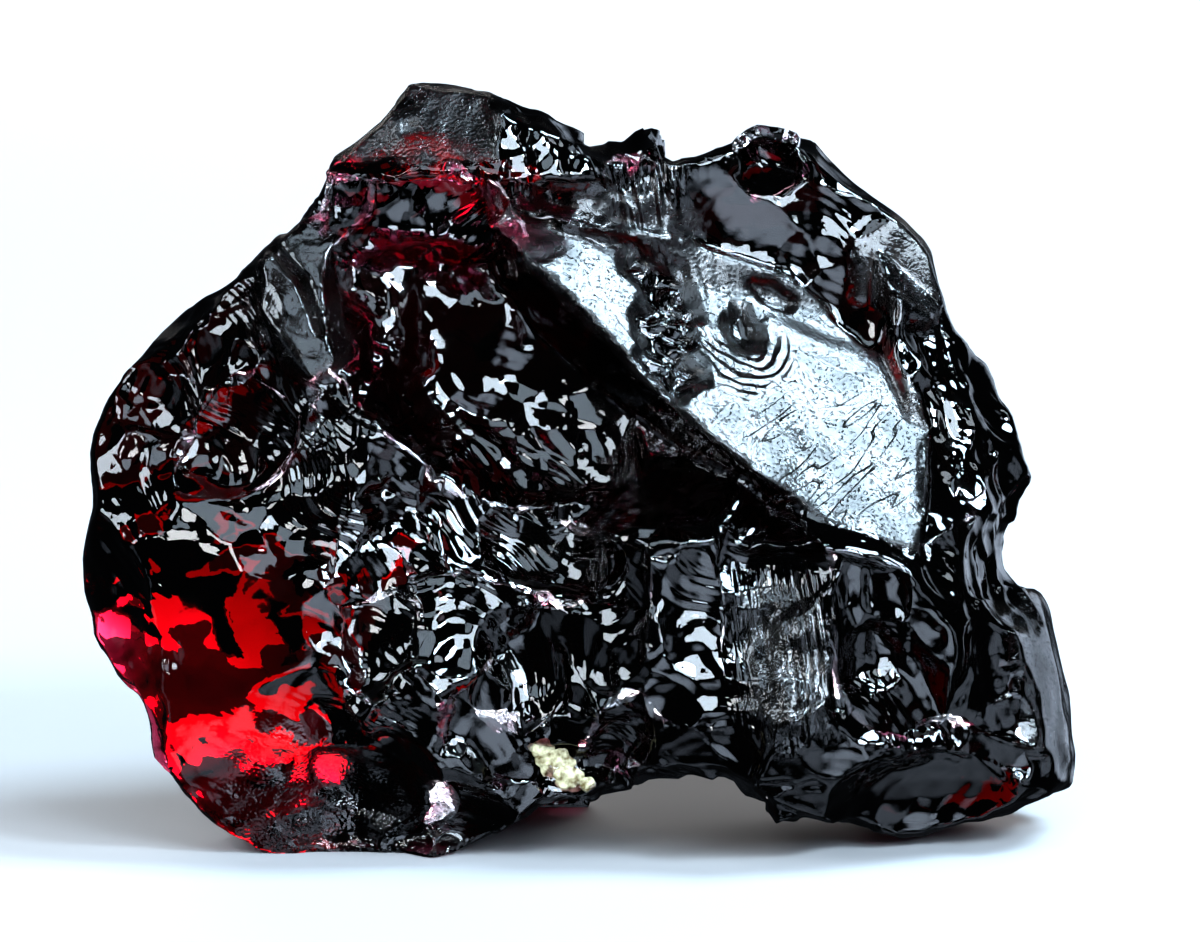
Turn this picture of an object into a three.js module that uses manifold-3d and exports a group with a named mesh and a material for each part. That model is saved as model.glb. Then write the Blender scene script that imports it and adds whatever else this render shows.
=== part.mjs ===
// A rough, broken piece of painite: one dark red, glassy crystal fragment that
// stands on its own broken underside. Millimetres, +Z up.
//
// The piece is laid out in its face frame, looking square at the broad side:
// X to the right, Z up, Y away from the viewer, zero near its middle. It stands
// with the broad side leaning back by LEAN, so the finished solid is turned by
// that angle and set down on z = 0.
//
// It is built the way it broke. A pebble gives the outline, and flat fractures
// and shell-shaped hollows cut it into a mass of blocks.

import * as THREE from "three";
import { ConvexGeometry } from "three/addons/geometries/ConvexGeometry.js";
import { mergeVertices } from "three/addons/utils/BufferGeometryUtils.js";
import { ImprovedNoise } from "three/addons/math/ImprovedNoise.js";
import Module from "manifold-3d";

// Driving dimensions
const LEAN = THREE.MathUtils.degToRad(10); // the broad side leans back
const FRONT = -13; // nearest reach of the pebble
const BACK = 11.5; // furthest reach of the pebble
const GROUND = -14.2; // height of the ground under the middle, in the face frame
const LIMITS = [22, 15, 18]; // half sizes of the box that every block stays in
const RIM_POWER = 2.6; // how square the pebble's rim is, seen from the front
const DEPTH_POWER = 2.2; // and from the side
const FINENESS = 3.6; // longest edge on a block before it is bent
const WAVE = 0.16; // the bending noise, in cycles per millimetre
const SWAY = 0.5; // and its size in millimetres
const SHELL_DETAIL = 5; // fineness of a shell-shaped hollow

const wasm = await Module();
wasm.setup();

// The outline, clockwise from the upper left corner: right, up, depth of the rim
const OUTLINE = [
  [-10.5, 12.0, -5], [-9.4, 12.9, -5], [-7.8, 14.1, -5], [-6.8, 15.3, -5.5], [-6.1, 15.6, -5.5],
  [-4.4, 15.4, -5], [-2.8, 14.9, -4], [-1.4, 14.3, -3.5], [-0.2, 13.9, -3], [0.5, 13.3, -2.5],
  [0.75, 12.6, -2], [1.1, 13.4, -1.5], [2.4, 13.8, -1], [3.3, 13.7, -0.5], [4.1, 12.8, 0],
  [5.8, 13.3, 0.5], [6.6, 13.7, 1], [7.6, 14.0, 1.5], [8.8, 13.8, 1.5], [9.5, 13.2, 1.5],
  [10.2, 12.4, 1.5], [11.6, 11.3, 1.5], [13.4, 9.9, 1.5], [14.2, 8.9, 1.5], [14.7, 7.3, 1],
  [15.2, 6.1, 1], [16.8, 3.9, 0.5], [17.5, 2.7, 0], [17.9, 0.9, 0], [18.4, -0.7, 0],
  [17.9, -1.7, 0], [17.6, -3.7, 0.5], [18.2, -4.3, 1], [18.8, -5.5, 1], [19.4, -7.9, 1],
  [19.9, -12.1, 0], [19.2, -12.9, -1.5], [16.8, -13.8, -2], [14.8, -14.2, -2.5], [13.0, -14.6, -3],
  [11.6, -14.3, -4], [9.6, -14.2, -5], [8.4, -14.4, -5.5], [7.0, -14.0, -5.5], [6.4, -13.1, -5.5],
  [4.8, -12.7, -5.5], [3.2, -12.4, -5.5], [1.6, -13.2, -5.5], [-0.8, -13.7, -5.5], [-3.2, -14.4, -5.5],
  [-5.2, -15.1, -5.5], [-7.2, -15.6, -6], [-9.6, -15.6, -6], [-11.6, -15.3, -6], [-13.2, -14.8, -5.5],
  [-14.6, -13.9, -5], [-16.6, -12.3, -5], [-17.0, -11.3, -5], [-17.2, -9.9, -5], [-18.0, -8.7, -4.5],
  [-19.6, -6.1, -4.5], [-20.0, -3.5, -4.5], [-19.8, -2.3, -4.5], [-19.4, -1.3, -4.5], [-19.6, 0.5, -4],
  [-19.3, 1.7, -4], [-18.8, 2.7, -4], [-17.4, 4.9, -4], [-15.2, 6.9, -4], [-13.2, 8.5, -4],
  [-11.2, 10.3, -4.5],
];

// A flat fracture through a point, with its normal pointing out of the piece
const plane = (point, normal) => new THREE.Plane()
  .setFromNormalAndCoplanarPoint(new THREE.Vector3(...normal).normalize(), new THREE.Vector3(...point));

// A facet towards the viewer: it goes through (x, depth, z), and its depth grows by `right` for
// each millimetre to the right and by `up` for each millimetre upwards. `rear` faces the other way.
const facet = (x, z, depth, right, up) => plane([x, depth, z], [right, -1, up]);
const rear = (x, z, depth, right, up) => plane([x, depth, z], [-right, 1, -up]);

// A block of crystal with one broad facet towards the viewer. The facet is [x, z, depth, right, up];
// its corners go clockwise as [x, z, turn], where `turn` is how far the side that starts there still
// turns to the viewer: 0 is a wall along the line of sight, 2 a gentle slope.
function block([x, z, depth, right, up], corners) {
  const at = ([cx, cz]) => new THREE.Vector3(cx, depth + right * (cx - x) + up * (cz - z), cz);
  const sides = corners.map((corner, i) => {
    const a = at(corner);
    const b = at(corners[(i + 1) % corners.length]);
    const run = Math.hypot(b.x - a.x, b.z - a.z);
    const along = new THREE.Vector3((b.x - a.x) / run, 0, (b.z - a.z) / run);
    const turn = corner[2];
    const normal = new THREE.Vector3(-along.z, -turn, along.x)
      .addScaledVector(along, (turn * (b.y - a.y)) / run);
    return plane(a.toArray(), normal.toArray());
  });
  return [facet(x, z, depth, right, up), ...sides];
}

// A shell-shaped hollow: an ellipsoid, tipped about X and then turned about the depth axis
const shell = (centre, radii, turn = 0, tip = 0) => ({ centre, radii, turn, tip });

// The mass behind the front facets
const CORE = [
  facet(0, 4, -1.6, 0.05, 0.12),
  facet(18.5, -8, -1.5, 1.0, 0.15),
];

// The facets of the back
const REAR = [
  rear(5, 5, 9.4, -0.1, -0.35),
  rear(4, 10.5, 4.8, 0.12, -1.0),
  rear(1, -5, 10.0, 0.14, 0.12),
  rear(12, 3, 7.4, -0.6, -0.15),
  rear(15, -3, 5.8, -0.9, 0.05),
  rear(7, -11, 8.0, -0.2, 0.7),
  rear(-8, 4, 5.2, 0.45, -0.2),
  rear(-12, 9, 1.5, 0.5, -0.75),
  rear(-6, 14, -2.0, 0.35, -1.2),
];

const BLOCKS = {
  // The broad bright facet, and the steps around it
  brightFace: block([-3.6, 9.7, -7, 0.467, 0.747], [
    [-3.6, 9.9, 0.9], [2.4, 9.5, 0.8], [4.8, 8.9, 0.7], [8.4, 7.6, 0.9], [13.6, 2.9, 1.0],
    [13.8, 1.3, 0.9], [13.3, -3.1, 0.4], [9.6, -1.9, 0.35], [4.8, 1.7, 0.35], [0.4, 5.8, 0.35],
  ]),
  band: block([0, 10.6, -5.7, 0.26, 0.36], [
    [-4.4, 11.6, 0.3], [0.8, 11.6, 0.5], [4.6, 10.6, 0.5],
    [5.0, 8.8, 0.3], [2.4, 9.3, 0.3], [-3.8, 9.8, 0.3],
  ]),
  // The cap at the upper left, with a ledge under it
  capFace: block([-6, 11.3, -8.5, -0.12, 0.1], [
    [-10.0, 12.3, 1.6], [-6.6, 12.1, 1.7], [-3.0, 12.6, 1.0], [-2.8, 11.2, 0.05], [-10.3, 11.3, 0.6],
  ]),
  capRight: block([-1.0, 12.6, -7.6, 0.45, 0.3], [
    [-3.2, 15.1, 0.8], [-0.1, 14.2, 0.7], [0.7, 12.9, 0.5], [0.9, 11.4, 0.1], [-3.1, 11.3, 0.6],
  ]),
  // The humps along the top right
  humpOne: block([2.4, 11.6, -3.0, 0.1, 0.5], [
    [0.9, 13.3, 0.5], [3.2, 13.9, 0.5], [4.0, 12.8, 0.8], [4.4, 9.4, 0.6], [1.0, 9.4, 0.5],
  ]),
  humpTwo: block([7.2, 11.6, -2.4, 0.3, 0.5], [
    [4.9, 12.8, 0.6], [7.2, 14.0, 0.7], [9.4, 13.4, 1.0],
    [10.4, 11.6, 0.9], [9.2, 8.2, 0.5], [5.4, 9.4, 0.5],
  ]),
  humpGlint: block([7.0, 12.1, -2.7, 0.45, 0.8], [
    [6.3, 13.1, 0.8], [7.5, 12.9, 0.8], [7.7, 11.3, 0.7], [6.3, 11.2, 0.7],
  ]),
  brownFacet: block([9.7, 8.3, -2.9, 0.1, 0.2], [
    [8.7, 9.9, 0.7], [10.5, 9.6, 0.6], [10.8, 7.0, 0.5], [8.6, 7.2, 0.5],
  ]),
  windowFacet: block([11.2, 9.8, -0.9, 0.8, 0.35], [
    [10.0, 11.4, 0.9], [11.8, 10.9, 0.6], [12.6, 9.2, 0.6], [10.8, 8.2, 0.6], [9.6, 9.2, 0.6],
  ]),
  smoothFacet: block([12.8, 7.8, -1.5, 0.45, 0.6], [
    [11.0, 9.1, 0.7], [12.6, 10.3, 0.6], [14.2, 9.6, 0.6],
    [15.0, 7.2, 0.6], [14.4, 5.7, 0.5], [10.8, 6.8, 0.5],
  ]),
  // The right flank, hung with curtain ridges
  rightFlank: block([15, 3, -3.0, 0.95, 0.3], [
    [12.4, 6.8, 0.6], [15.2, 5.8, 0.5], [18.0, 1.0, 0.4],
    [18.0, -4.0, 0.4], [13.6, -3.6, 0.8], [13.2, 1.6, 0.8],
  ]),
  curtainOne: block([14.2, 2.4, -4.7, 0.55, 0.4], [
    [12.6, 5.2, 0.8], [13.8, 4.6, 0.5], [15.8, 0.4, 0.6], [14.0, 0.6, 0.8], [13.6, 2.6, 0.9],
  ]),
  curtainTwo: block([15.6, 2.4, -3.4, 0.5, 0.35], [
    [14.0, 5.8, 0.8], [15.2, 5.0, 0.5], [17.1, 0.8, 0.5], [16.0, -0.6, 0.6], [15.5, 1.0, 0.8],
  ]),
  curtainThree: block([16.9, 1.6, -1.9, 0.5, 0.3], [
    [15.6, 5.0, 0.8], [16.4, 4.4, 0.5], [18.2, 0.4, 0.5], [18.6, -1.0, 0.5], [17.0, -1.4, 0.8],
  ]),
  pinkFacet: block([14.9, -1.4, -6.9, 0.5, 0.6], [
    [13.7, 0.4, 0.8], [15.4, 0.2, 0.5], [16.3, -2.6, 0.4], [13.4, -3.6, 0.5],
  ]),
  // The left part, from the shoulder down to the thin lower edge
  leftBody: [
    facet(-11, 6.5, -6.8, -0.22, 0.38),
    facet(-15.4, 3.6, -6.3, -0.6, 0.45),
    facet(-11, -1, -8.8, -0.2, 0.1),
    facet(-13, -5, -9.0, -0.13, -0.1),
    facet(-12.4, -9.5, -8.2, 0.05, -0.5),
    plane([-17.2, -9.05, -0.3], [-0.985, -0.75, -0.175]),
    facet(-8, 1, -8.8, 0.3, 0.03),
  ],
  shoulderStrip: block([-11.2, 7, -7.5, -0.05, 0.42], [
    [-12.6, 9.4, 0.8], [-9.9, 11.2, 0.5], [-9.0, 4.8, 0.4], [-10.4, 3.2, 0.8], [-12.6, 6.4, 0.8],
  ]),
  shoulderStep: block([-14.6, 4.6, -7.0, -0.5, 0.3], [
    [-15.4, 6.2, 0.8], [-13.2, 7.0, 0.8], [-12.6, 4.4, 0.8], [-14.2, 2.6, 0.9], [-16.4, 3.8, 0.8],
  ]),
  // The lumps of the middle, inside the dark rounded edge
  centre: block([-4, -8, -9.1, 0.06, -0.1], [
    [-5.0, -3.8, 1.7], [-1.0, -4.6, 0.6], [4.0, -6.0, 0.6], [6.0, -12.0, 0.6], [-0.8, -13.2, 0.7],
    [-5.5, -11.8, 0.55], [-7.8, -10.4, 0.5], [-9.2, -8.6, 0.5], [-9.4, -5.4, 1.0],
  ]),
  redWindow: block([-7.9, -6.4, -9.5, -0.3, 0.28], [
    [-9.5, -4.8, 0.8], [-7.2, -4.2, 0.9], [-6.6, -6.4, 0.6], [-7.4, -8.8, 0.7], [-9.3, -7.8, 0.4],
  ]),
  middleFacet: block([-4.6, -6.8, -9.9, 0.3, 0.22], [
    [-6.4, -4.4, 1.0], [-3.6, -4.6, 0.8], [-2.6, -7.6, 0.7], [-5.2, -9.6, 0.8], [-6.6, -7.6, 0.7],
  ]),
  lowFacet: block([-4.4, -10.6, -9.3, 0.1, -0.4], [
    [-8.6, -8.9, 0.8], [-5.0, -9.2, 1.0], [-0.4, -9.6, 0.8], [0.8, -12.8, 0.6], [-1.2, -13.3, 0.6],
    [-5.6, -11.9, 0.5], [-7.9, -10.4, 0.45],
  ]),
  // The lower block on the right
  magentaFacet: block([1.2, -6.4, -9.9, -0.35, 0.25], [
    [-0.6, -5.2, 0.8], [2.4, -2.9, 0.6], [3.2, -4.6, 0.8],
    [2.8, -8.4, 0.8], [0.6, -9.8, 0.8], [-0.8, -7.8, 0.7],
  ]),
  lumps: block([4.2, -7.4, -10.8, 0.12, -0.06], [
    [2.6, -3.2, 0.6], [5.0, -2.4, 0.7], [5.9, -5.0, 0.9],
    [5.8, -9.6, 0.8], [4.0, -11.2, 0.8], [2.6, -9.0, 0.8],
  ]),
  satinFacet: block([8, -7, -10.6, -0.18, 0.12], [
    [5.4, -2.5, 0.5], [8.8, -2.8, 0.6], [10.2, -4.0, 1.2],
    [10.6, -10.6, 0.8], [7.6, -11.2, 0.9], [5.6, -9.4, 0.9],
  ]),
  fluted: block([11.4, -6, -10.2, 0.28, -0.08], [
    [8.8, -2.8, 0.6], [13.2, -3.9, 0.9], [14.6, -5.4, 1.0],
    [15.0, -9.8, 0.7], [9.8, -10.8, 0.6], [9.6, -4.6, 0.6],
  ]),
  rightPillar: block([15.6, -5.6, -7.6, 0.7, 0.15], [
    [13.4, -3.4, 0.5], [16.2, -1.1, 0.3], [17.9, -8.7, 0.5], [14.6, -10.2, 0.6], [13.0, -6.0, 0.6],
  ]),
  bottomLump: block([8.2, -12.6, -7.3, 0.1, -0.2], [
    [6.6, -10.6, 0.8], [9.9, -10.8, 0.6], [10.0, -13.6, 0.5], [8.4, -14.4, 0.5], [6.6, -13.4, 0.6],
  ]),
};

// Shell-shaped hollows that cut one block only
const HOLLOWS = {
  leftBody: [shell([-1.6, -10, 6.2], [10.6, 6.4, 7.4], 35)],
  shoulderStrip: [shell([-1.6, -10, 6.2], [10.6, 6.4, 7.4], 35)],
};

// Shell-shaped hollows that cut everything
const SCOOPS = {
  lowerRight: shell([14.8, -12.2, -14.6], [6.6, 8.0, 4.5]),
  lowerLeft: shell([-9.4, -13, -14.5], [5.6, 8, 5]),
  ringPit: shell([7.15, -6.45, 6.65], [1.8, 1.8, 1.8]),
  humpHollow: shell([7.6, -3.2, 12.1], [1.2, 1.7, 1.0], 20),
  lumpHollow: shell([3.6, -13.0, -9.4], [2.0, 2.8, 2.2]),
  shoulderHollow: shell([-14.4, -9.6, 1.4], [3.4, 3.0, 2.4], -30),
  backGlow: shell([-14.5, 5.8, -8.6], [8.6, 9.2, 7.6], 15), // leaves the thin lower edge
  backWindow: shell([-7.2, 7.2, -5.4], [4.4, 9.6, 3.8], -25), // and a thin place beside it
  backLeft: shell([-18, 10, 4.5], [8, 8.5, 7.5], 20),
  backTop: shell([6, 16.5, 12.5], [8, 11, 7], -20),
  backMiddle: shell([5, 19, -2.5], [7.5, 10.2, 8.5], 25),
  backRight: shell([19, 9.5, 2], [6, 7.5, 9], -25),
  backLow: shell([10.5, 14.5, -13], [7, 8.5, 6]),
  backDip: shell([-5.5, 13.5, 7.5], [5, 8.5, 6], 40),
};

// The heel, behind and below, that the piece stands on with its two front feet
const HEEL = [
  plane([0, 8.0, -9], [0, 1, 0.35]),
  plane([-7.2, 5, -10], [-1, 0.4, 0.35]),
  plane([-0.9, 6, -11], [1, 0.3, 0.3]),
  plane([0, 3.8, -13.4], [0, -1, -0.8]),
  plane([0, 0.2, -8], [0, -1, 0]),
  plane([0, 7, -7.5], [0.1, 0.9, 1]),
];

const noise = new ImprovedNoise();

// Bends straight fractures a little, so that none is quite flat
function bend(p) {
  const [x, y, z] = [p.x * WAVE, p.y * WAVE, p.z * WAVE];
  p.x += SWAY * noise.noise(x + 3, y, z);
  p.y += SWAY * noise.noise(x, y + 7, z);
  p.z += SWAY * noise.noise(x, y, z + 11);
  return p;
}

// Splits every edge that is longer than `longest` at its middle, until none is left
function refine(points, triangles, longest) {
  let todo = triangles;
  for (;;) {
    const middles = new Map();
    const middle = (a, b) => {
      if (points[a].distanceTo(points[b]) <= longest) return -1;
      const key = `${Math.min(a, b)} ${Math.max(a, b)}`;
      if (!middles.has(key)) middles.set(key, points.push(points[a].clone().lerp(points[b], 0.5)) - 1);
      return middles.get(key);
    };
    const next = [];
    for (const [a, b, c] of todo) {
      const [ab, bc, ca] = [middle(a, b), middle(b, c), middle(c, a)];
      const split = [ab, bc, ca].filter((m) => m >= 0).length;
      if (split === 0) next.push([a, b, c]);
      else if (split === 3) next.push([a, ab, ca], [ab, b, bc], [ca, bc, c], [ab, bc, ca]);
      else if (split === 1) {
        if (ab >= 0) next.push([a, ab, c], [ab, b, c]);
        if (bc >= 0) next.push([a, b, bc], [a, bc, c]);
        if (ca >= 0) next.push([a, b, ca], [ca, b, c]);
      } else {
        if (ab < 0) next.push([a, b, bc], [a, bc, ca], [ca, bc, c]);
        if (bc < 0) next.push([b, c, ca], [b, ca, ab], [ab, ca, a]);
        if (ca < 0) next.push([c, a, ab], [c, ab, bc], [bc, ab, b]);
      }
    }
    todo = next;
    if (middles.size === 0) return todo;
  }
}

// A manifold solid from points and triangles, bent if asked
function solidOf(points, triangles, bent = true) {
  const moved = bent ? points.map((p) => bend(p.clone())) : points;
  return new wasm.Manifold(new wasm.Mesh({
    numProp: 3,
    vertProperties: new Float32Array(moved.flatMap((p) => p.toArray())),
    triVerts: new Uint32Array(triangles.flat()),
  }));
}

// The points and triangles of a closed geometry, with shared corners merged
function partsOf(geometry) {
  geometry.deleteAttribute("normal");
  geometry.deleteAttribute("uv");
  const merged = mergeVertices(geometry, 1e-4);
  const { position } = merged.attributes;
  const pointAt = (_, i) => new THREE.Vector3().fromBufferAttribute(position, i);
  const points = Array.from({ length: position.count }, pointAt);
  const index = merged.index.array;
  const triangleAt = (_, i) => [...index.slice(3 * i, 3 * i + 3)];
  const triangles = Array.from({ length: index.length / 3 }, triangleAt);
  return [points, triangles];
}

// The solid behind a set of fractures: the corners are where three of them meet
function massOf(fractures, bent = true) {
  const [bx, by, bz] = LIMITS;
  const box = [
    plane([bx, 0, 0], [1, 0, 0]), plane([-bx, 0, 0], [-1, 0, 0]), plane([0, by, 0], [0, 1, 0]),
    plane([0, -by, 0], [0, -1, 0]), plane([0, 0, bz], [0, 0, 1]), plane([0, 0, -bz], [0, 0, -1]),
  ];
  const all = [...fractures, ...box];
  const corners = [];
  const cross = (p, q) => new THREE.Vector3().crossVectors(p.normal, q.normal);
  for (let i = 0; i < all.length; i++)
    for (let j = i + 1; j < all.length; j++)
      for (let k = j + 1; k < all.length; k++) {
        const [p, q, r] = [all[i], all[j], all[k]];
        const spread = p.normal.dot(cross(q, r));
        if (Math.abs(spread) < 1e-6) continue;
        const corner = cross(q, r).multiplyScalar(-p.constant)
          .addScaledVector(cross(r, p), -q.constant)
          .addScaledVector(cross(p, q), -r.constant)
          .divideScalar(spread);
        const within = all.every((f) => f.distanceToPoint(corner) < 1e-5);
        if (within && corners.every((c) => c.distanceTo(corner) > 1e-3)) corners.push(corner);
      }
  const [points, triangles] = partsOf(new ConvexGeometry(corners));
  const fine = bent ? refine(points, triangles, FINENESS) : triangles;
  return solidOf(points, fine, bent);
}

function shellOf({ centre, radii, turn, tip }) {
  const [points, triangles] = partsOf(new THREE.IcosahedronGeometry(1, SHELL_DETAIL));
  const turned = new THREE.Euler(THREE.MathUtils.degToRad(tip), THREE.MathUtils.degToRad(turn), 0, "YXZ");
  const size = new THREE.Vector3(...radii);
  const middle = new THREE.Vector3(...centre);
  const placed = points.map((p) => p.multiply(size).applyEuler(turned).add(middle));
  return solidOf(placed, triangles);
}

// The pebble: the outline drawn in towards a front and a back point, ring by ring
const RINGS = 6; // on each side of the rim
function pebbleOf() {
  const curve = new THREE.CatmullRomCurve3(
    OUTLINE.map(([x, z, y]) => new THREE.Vector3(x, y, z)), true, "centripetal");
  const around = Math.round(1.6 * OUTLINE.length);
  const rim = Array.from({ length: around }, (_, i) => curve.getPoint(i / around));
  const points = [new THREE.Vector3(0, FRONT, 0)];
  const triangles = [];
  for (let ring = 1 - RINGS; ring < RINGS; ring++) {
    const angle = (ring / RINGS) * (Math.PI / 2);
    const reach = Math.cos(angle) ** (2 / RIM_POWER);
    const depth = Math.abs(Math.sin(angle)) ** (2 / DEPTH_POWER);
    const end = angle < 0 ? FRONT : BACK;
    for (const { x, y, z } of rim) {
      points.push(new THREE.Vector3(x * reach, y + (end - y) * depth, z * reach));
    }
  }
  const last = points.push(new THREE.Vector3(0, BACK, 0)) - 1;
  const at = (ring, i) => 1 + ring * around + (i % around);
  const loops = 2 * RINGS - 1;
  for (let i = 0; i < around; i++) {
    triangles.push([0, at(0, i + 1), at(0, i)]);
    triangles.push([last, at(loops - 1, i), at(loops - 1, i + 1)]);
    for (let ring = 0; ring + 1 < loops; ring++) {
      triangles.push([at(ring, i), at(ring + 1, i + 1), at(ring + 1, i)]);
      triangles.push([at(ring, i), at(ring, i + 1), at(ring + 1, i + 1)]);
    }
  }
  return solidOf(points, triangles, false);
}

function piece() {
  let body = massOf(CORE);
  for (const [name, fractures] of Object.entries(BLOCKS)) {
    let mass = massOf(fractures);
    for (const hollow of HOLLOWS[name] ?? []) mass = mass.subtract(shellOf(hollow));
    body = body.add(mass);
  }
  for (const scoop of Object.values(SCOOPS)) body = body.subtract(shellOf(scoop));
  body = body.intersect(pebbleOf()).intersect(massOf(REAR)).add(massOf(HEEL));
  const above = massOf([plane([0, 0, GROUND], [0, Math.sin(LEAN), -Math.cos(LEAN)])], false);
  return body.intersect(above);
}

const mesh = piece().getMesh();
const geometry = new THREE.BufferGeometry()
  .setAttribute("position", new THREE.BufferAttribute(new Float32Array(mesh.vertProperties), 3))
  .setIndex(new THREE.BufferAttribute(new Uint32Array(mesh.triVerts), 1));
geometry.applyMatrix4(new THREE.Matrix4().makeRotationX(-LEAN));
geometry.computeBoundingBox();
const { min, max } = geometry.boundingBox;
const shift = [-(min.x + max.x) / 2, -(min.y + max.y) / 2, -min.z];
geometry.translate(...shift);
geometry.computeVertexNormals();

const stone = new THREE.Mesh(
  geometry,
  new THREE.MeshStandardMaterial({ color: 0x2a0309, roughness: 0.15, metalness: 0 }),
);
stone.name = "painite_crystal";

const group = new THREE.Group();
group.add(stone);
export default group;
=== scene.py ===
# A rough, broken piece of painite: one dark red, glassy crystal that stands on its broken underside.
# The visible stone is a fine copy of the CAD solid with the small fracture marks worked into its surface.
import math

import bmesh
import bpy
import numpy as np
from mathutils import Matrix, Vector
from mathutils.bvhtree import BVHTree


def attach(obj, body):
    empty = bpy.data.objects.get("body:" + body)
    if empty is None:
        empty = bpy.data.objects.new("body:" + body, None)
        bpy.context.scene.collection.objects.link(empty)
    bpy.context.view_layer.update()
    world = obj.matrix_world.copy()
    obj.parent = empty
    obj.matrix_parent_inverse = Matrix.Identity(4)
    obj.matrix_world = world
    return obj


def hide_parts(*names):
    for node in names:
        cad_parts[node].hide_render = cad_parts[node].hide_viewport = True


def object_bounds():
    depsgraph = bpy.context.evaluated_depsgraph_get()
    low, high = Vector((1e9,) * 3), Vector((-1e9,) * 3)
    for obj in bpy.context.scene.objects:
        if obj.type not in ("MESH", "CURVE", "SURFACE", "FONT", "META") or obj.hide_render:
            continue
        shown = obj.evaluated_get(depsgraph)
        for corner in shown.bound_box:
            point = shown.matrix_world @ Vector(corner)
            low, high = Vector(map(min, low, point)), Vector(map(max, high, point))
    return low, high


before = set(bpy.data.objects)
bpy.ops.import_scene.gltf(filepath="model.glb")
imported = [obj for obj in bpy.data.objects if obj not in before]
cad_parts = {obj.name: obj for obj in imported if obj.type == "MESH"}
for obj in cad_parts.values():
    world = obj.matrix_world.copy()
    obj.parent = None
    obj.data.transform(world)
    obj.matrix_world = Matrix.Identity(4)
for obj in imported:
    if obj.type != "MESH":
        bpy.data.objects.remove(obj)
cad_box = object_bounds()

# ---------------------------------------------------------------- measures
# Lengths on the stone are millimetres. The face frame looks square at the broad face:
# x to the right, z up, y away from the viewer, zero at the middle of the face.
MM = 0.001
LEAN = math.radians(10)  # the broad face leans back
MIDDLE = np.array((0.034, 0.879, 13.984))  # the face frame's zero, above the origin
GRID = 0.34  # size of the fine copy's faces, halved on the side that has the broad face
FINE_FROM = 0.12  # how far a face turns to that side before it is halved
SEED = 11
FAN_SIZE = 3.5  # how far apart the fans of fine lines are
FAN_BEND = 1.6  # how far those lines are bent
EVENED = 0.55  # the share by which the worked surface is evened out at the end
SLIVER = 0.004  # edges shorter than this are dropped
SHARP = math.radians(50)  # faces that meet at more than this keep a sharp edge

# ---------------------------------------------------------------- noise


def lattice(cells, seed):
    """A repeatable random number from 0 to 1 for each whole-numbered cell."""
    i = cells.astype(np.int64)
    h = (i[..., 0] * 73856093) ^ (i[..., 1] * 19349663) ^ (i[..., 2] * 83492791) ^ (seed * 2654435761)
    h = (h ^ (h >> 13)) * 1274126177
    h = (h ^ (h >> 16)) * 668265263
    return ((h ^ (h >> 15)) & 0xFFFFFF) / float(0x1000000)


def noise(p, seed=0):
    """Smooth noise from -1 to 1, one hump for each unit of length."""
    base = np.floor(p)
    f = p - base
    w = f * f * f * (f * (f * 6 - 15) + 10)
    total = np.zeros(len(p))
    for corner in range(8):
        step = np.array((corner & 1, corner >> 1 & 1, corner >> 2 & 1))
        turn = lattice(base + step, SEED + seed) * 2 * np.pi
        lift = lattice(base + step, SEED + seed + 57) * 2 - 1
        ring = np.sqrt(1 - lift * lift)
        slope = np.stack([ring * np.cos(turn), ring * np.sin(turn), lift], 1)
        share = np.prod(np.where(step, w, 1 - w), axis=1)
        total += share * np.einsum("ij,ij->i", slope, f - step)
    return total * 1.5


def rough_noise(p, octaves, seed=0):
    """Noise on several scales, each half the size of the one before."""
    total = np.zeros(len(p))
    for i in range(octaves):
        total += noise(p * 2**i, seed + 7 * i) / 2**i
    return total


def scars(p, n, count, reach, depth, likely, seed, wave=0.0):
    """How deep flake scars cut: shallow bowls of random size and slant that meet in sharp ridges.

    reach is the least and greatest radius, depth the least and greatest share of the radius, likely how
    often each point is struck, and wave the height of the ripples that spread from the struck edge.
    """
    rng = np.random.default_rng(seed)
    struck = rng.choice(len(p), count, p=likely / likely.sum())
    cut = np.zeros(len(p))
    for k in struck:
        radius = reach[0] * (reach[1] / reach[0]) ** rng.random()
        deep = radius * rng.uniform(*depth)
        longer = rng.uniform(1.0, 1.7)
        slant = deep * rng.uniform(0.0, 0.9)
        side = np.cross(n[k], rng.normal(size=3))
        side /= np.linalg.norm(side)
        ahead = np.cross(n[k], side)
        gap = p - p[k]
        near = np.flatnonzero(np.einsum("ij,ij->i", gap, gap) < (1.9 * radius) ** 2)
        near = near[n[near] @ n[k] > 0.25]
        gap = gap[near]
        u = gap @ ahead / (radius * longer)
        v = gap @ side / radius
        proud = gap @ n[k]
        bowl = deep * (u * u + v * v - 1) + slant * u - proud
        if wave:
            from_edge = np.hypot((u + 1.1) * longer, v) * radius
            bowl = bowl + wave * np.sin(2 * np.pi * from_edge / rng.uniform(0.5, 0.8)) * (v * v + u * u < 1)
        cut[near] = np.minimum(cut[near], np.minimum(bowl, 0) * (1 - smooth(1.2 * deep, 3 * deep, proud)))
    return cut


def smooth(low, high, value):
    t = np.clip((value - low) / (high - low), 0, 1)
    return t * t * (3 - 2 * t)


# ---------------------------------------------------------------- the fine copy of the solid


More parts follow.
